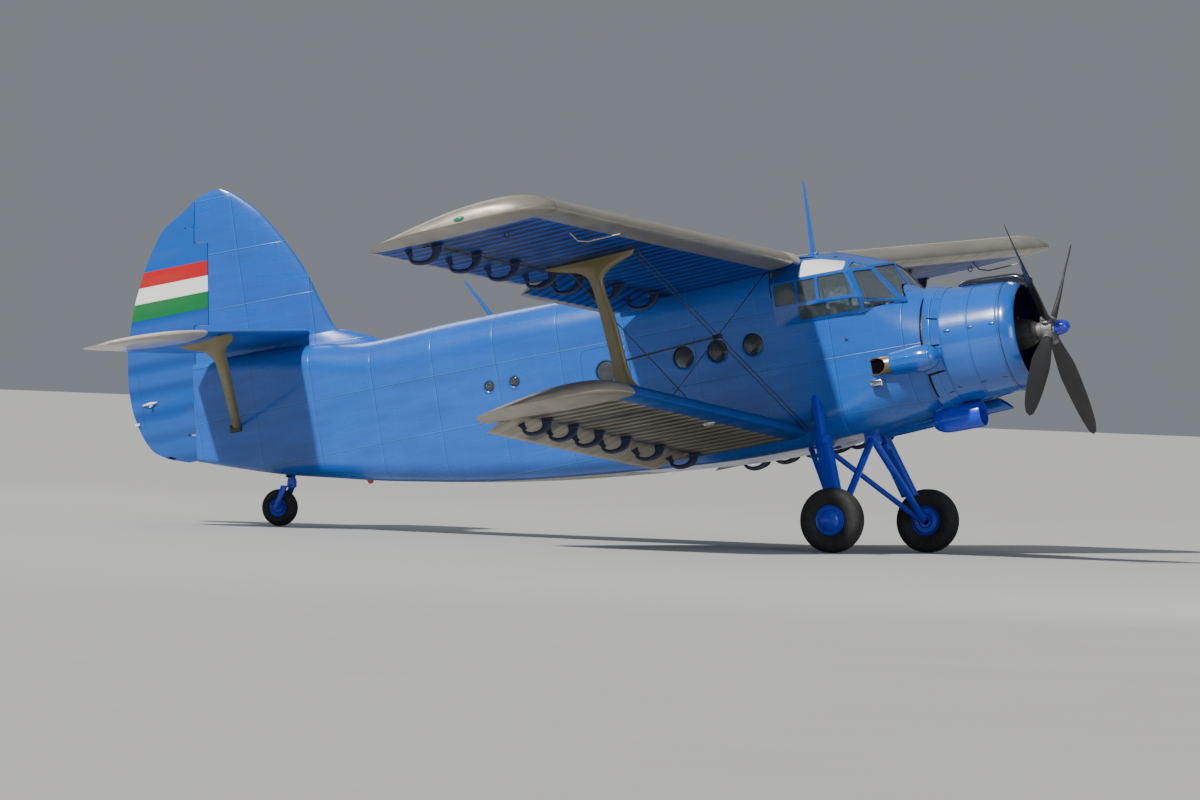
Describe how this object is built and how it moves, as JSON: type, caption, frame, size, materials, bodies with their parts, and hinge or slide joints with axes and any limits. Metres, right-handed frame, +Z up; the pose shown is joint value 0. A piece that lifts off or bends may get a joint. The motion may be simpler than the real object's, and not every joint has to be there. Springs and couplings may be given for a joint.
{
  "type": "biplane",
  "caption": "Single-engine utility biplane on tailwheel landing gear, with a hollow cabin, glazed cockpit, turning propeller and wheels, and moving control surfaces, flaps, slats and doors.",
  "frame": {"origin": "on the ground under the middle of the aircraft's length and span", "axes": "+X forward to the nose, +Y to port, +Z up; the fuselage stands 11.8 degrees nose up on its wheels"},
  "size_m": [12.7958, 18.1572, 4.5893],
  "materials": {
    "blue_paint": "glossy sky-blue enamel over riveted sheet",
    "silver_dope": "silver dope over fabric, satin",
    "olive_paint": "olive-khaki paint, satin",
    "grey_paint": "grey paint, satin",
    "bare_metal": "bare steel and alloy, dull",
    "glazing": "clear panes",
    "seat_leather": "dark worn covering",
    "tyre_rubber": "black rubber"
  },
  "bodies": {
    "airframe": {"nose_shell": "blue_paint", "canopy_frame": "blue_paint", "canopy_glass": "glazing", "instrument_panel": "grey_paint", "pilot_seat_port": "seat_leather", "pilot_seat_starboard": "seat_leather", "cabin_shell": "blue_paint", "emergency_hatch": "blue_paint", "cabin_floor": "grey_paint", "engine": "bare_metal", "cowling": "blue_paint", "cowl_lip": "blue_paint", "carburettor_intake": "blue_paint", "exhaust_pipe": "blue_paint", "oil_cooler": "blue_paint", "belly_duct": "blue_paint", "upper_wing_port": "silver_dope", "upper_wing_starboard": "silver_dope", "lower_wing_port": "silver_dope", "lower_wing_starboard": "silver_dope", "interplane_strut_port": "olive_paint", "interplane_strut_starboard": "olive_paint", "bracing_wires_port": "bare_metal", "bracing_wires_starboard": "bare_metal", "rear_flying_wire_port": "bare_metal", "rear_flying_wire_starboard": "bare_metal", "tail_cone": "blue_paint", "fin": "blue_paint", "tailplane_port": "blue_paint", "tailplane_starboard": "blue_paint", "tailplane_strut_port": "olive_paint", "tailplane_strut_starboard": "olive_paint", "shock_strut_port": "blue_paint", "shock_strut_starboard": "blue_paint", "half_axles": "blue_paint", "rear_brace_port": "blue_paint", "rear_brace_starboard": "blue_paint", "tail_leg": "blue_paint"},
    "propeller": {"propeller": "grey_paint", "spinner_dome": "blue_paint"},
    "main_wheel_port": {"main_tyre_port": "tyre_rubber", "main_hub_port": "blue_paint"},
    "main_wheel_starboard": {"main_tyre_starboard": "tyre_rubber", "main_hub_starboard": "blue_paint"},
    "castor": {"tail_fork": "blue_paint"},
    "tail_wheel": {"tail_tyre": "tyre_rubber", "tail_hub": "blue_paint"},
    "rudder": {"rudder": "blue_paint"},
    "elevators": {"elevators": "blue_paint"},
    "aileron_port": {"aileron_port": "silver_dope"},
    "aileron_starboard": {"aileron_starboard": "silver_dope"},
    "flap_upper_port": {"flap_upper_port": "silver_dope"},
    "flap_upper_starboard": {"flap_upper_starboard": "silver_dope"},
    "flap_lower_port": {"flap_lower_port": "silver_dope"},
    "flap_lower_starboard": {"flap_lower_starboard": "silver_dope"},
    "slat_port": {"slat_port": "silver_dope"},
    "slat_starboard": {"slat_starboard": "silver_dope"},
    "cargo_door": {"cargo_door": "blue_paint"},
    "passenger_door": {"passenger_door": "blue_paint"}
  },
  "joints": [
    {"name": "propeller_spin", "type": "hinge", "parent": "airframe", "child": "propeller", "pos_m": [6.12572, 0, 2.8528], "axis": [0.9789, 0, 0.2044], "continuous": true},
    {"name": "main_wheel_port_spin", "type": "hinge", "parent": "airframe", "child": "main_wheel_port", "pos_m": [3.99198, 1.68, 0.39996], "axis": [0, 1, 0], "continuous": true},
    {"name": "main_wheel_starboard_spin", "type": "hinge", "parent": "airframe", "child": "main_wheel_starboard", "pos_m": [3.99198, -1.68, 0.39996], "axis": [0, 1, 0], "continuous": true},
    {"name": "castor_swivel", "type": "hinge", "parent": "airframe", "child": "castor", "pos_m": [-4.03245, 0, 0.5226], "axis": [0, 0, 1], "continuous": true},
    {"name": "tail_wheel_spin", "type": "hinge", "parent": "castor", "child": "tail_wheel", "pos_m": [-4.18693, 0, 0.23496], "axis": [0, 1, 0], "continuous": true},
    {"name": "rudder_turn", "type": "hinge", "parent": "airframe", "child": "rudder", "pos_m": [-5.45926, 0, 1.33822], "axis": [-0.0649, 0, 0.9979], "range_deg": [-28, 28]},
    {"name": "elevator_turn", "type": "hinge", "parent": "airframe", "child": "elevators", "pos_m": [-4.97464, 0, 2.24643], "axis": [0, 1, 0], "range_deg": [-22.5, 42]},
    {"name": "aileron_port_turn", "type": "hinge", "parent": "airframe", "child": "aileron_port", "pos_m": [1.08118, 5.00255, 3.20175], "axis": [0.0121, -0.9982, -0.0581], "range_deg": [-30, 14]},
    {"name": "aileron_starboard_turn", "type": "hinge", "parent": "airframe", "child": "aileron_starboard", "pos_m": [1.08118, -5.00255, 3.20175], "axis": [-0.0121, -0.9982, 0.0581], "range_deg": [-30, 14]},
    {"name": "flap_upper_port_turn", "type": "hinge", "parent": "airframe", "child": "flap_upper_port", "pos_m": [1.08118, 5.00255, 3.20175], "axis": [0.0121, -0.9982, -0.0581], "range_deg": [-18, 22]},
    {"name": "flap_upper_starboard_turn", "type": "hinge", "parent": "airframe", "child": "flap_upper_starboard", "pos_m": [1.08118, -5.00255, 3.20175], "axis": [-0.0121, -0.9982, 0.0581], "range_deg": [-18, 22]},
    {"name": "flap_lower_port_turn", "type": "hinge", "parent": "airframe", "child": "flap_lower_port", "pos_m": [1.63732, 3.4973, 1.21502], "axis": [0.0164, -0.9968, -0.0785], "range_deg": [-18, 22]},
    {"name": "flap_lower_starboard_turn", "type": "hinge", "parent": "airframe", "child": "flap_lower_starboard", "pos_m": [1.63732, -3.4973, 1.21502], "axis": [-0.0164, -0.9968, 0.0785], "range_deg": [-18, 22]},
    {"name": "slat_port_slide", "type": "slide", "parent": "airframe", "child": "slat_port", "axis": [0.9998, 0.0114, 0.0135], "range_m": [0, 0.085]},
    {"name": "slat_starboard_slide", "type": "slide", "parent": "airframe", "child": "slat_starboard", "axis": [0.9998, -0.0114, 0.0135], "range_m": [0, 0.085]},
    {"name": "cargo_door_swing", "type": "hinge", "parent": "airframe", "child": "cargo_door", "pos_m": [-0.08211, 0.878, 1.69467], "axis": [-0.2044, 0, 0.9789], "range_deg": [0, 110]},
    {"name": "passenger_door_swing", "type": "hinge", "parent": "cargo_door", "child": "passenger_door", "pos_m": [1.29519, 0.817, 1.98221], "axis": [-0.2044, 0, 0.9789], "range_deg": [0, 95]}
  ],
  "couplings": [
    {"joint": "flap_upper_port_turn", "follows": "flap_lower_port_turn", "ratio": 1},
    {"joint": "flap_upper_starboard_turn", "follows": "flap_lower_port_turn", "ratio": 1},
    {"joint": "flap_lower_starboard_turn", "follows": "flap_lower_port_turn", "ratio": 1}
  ]
}
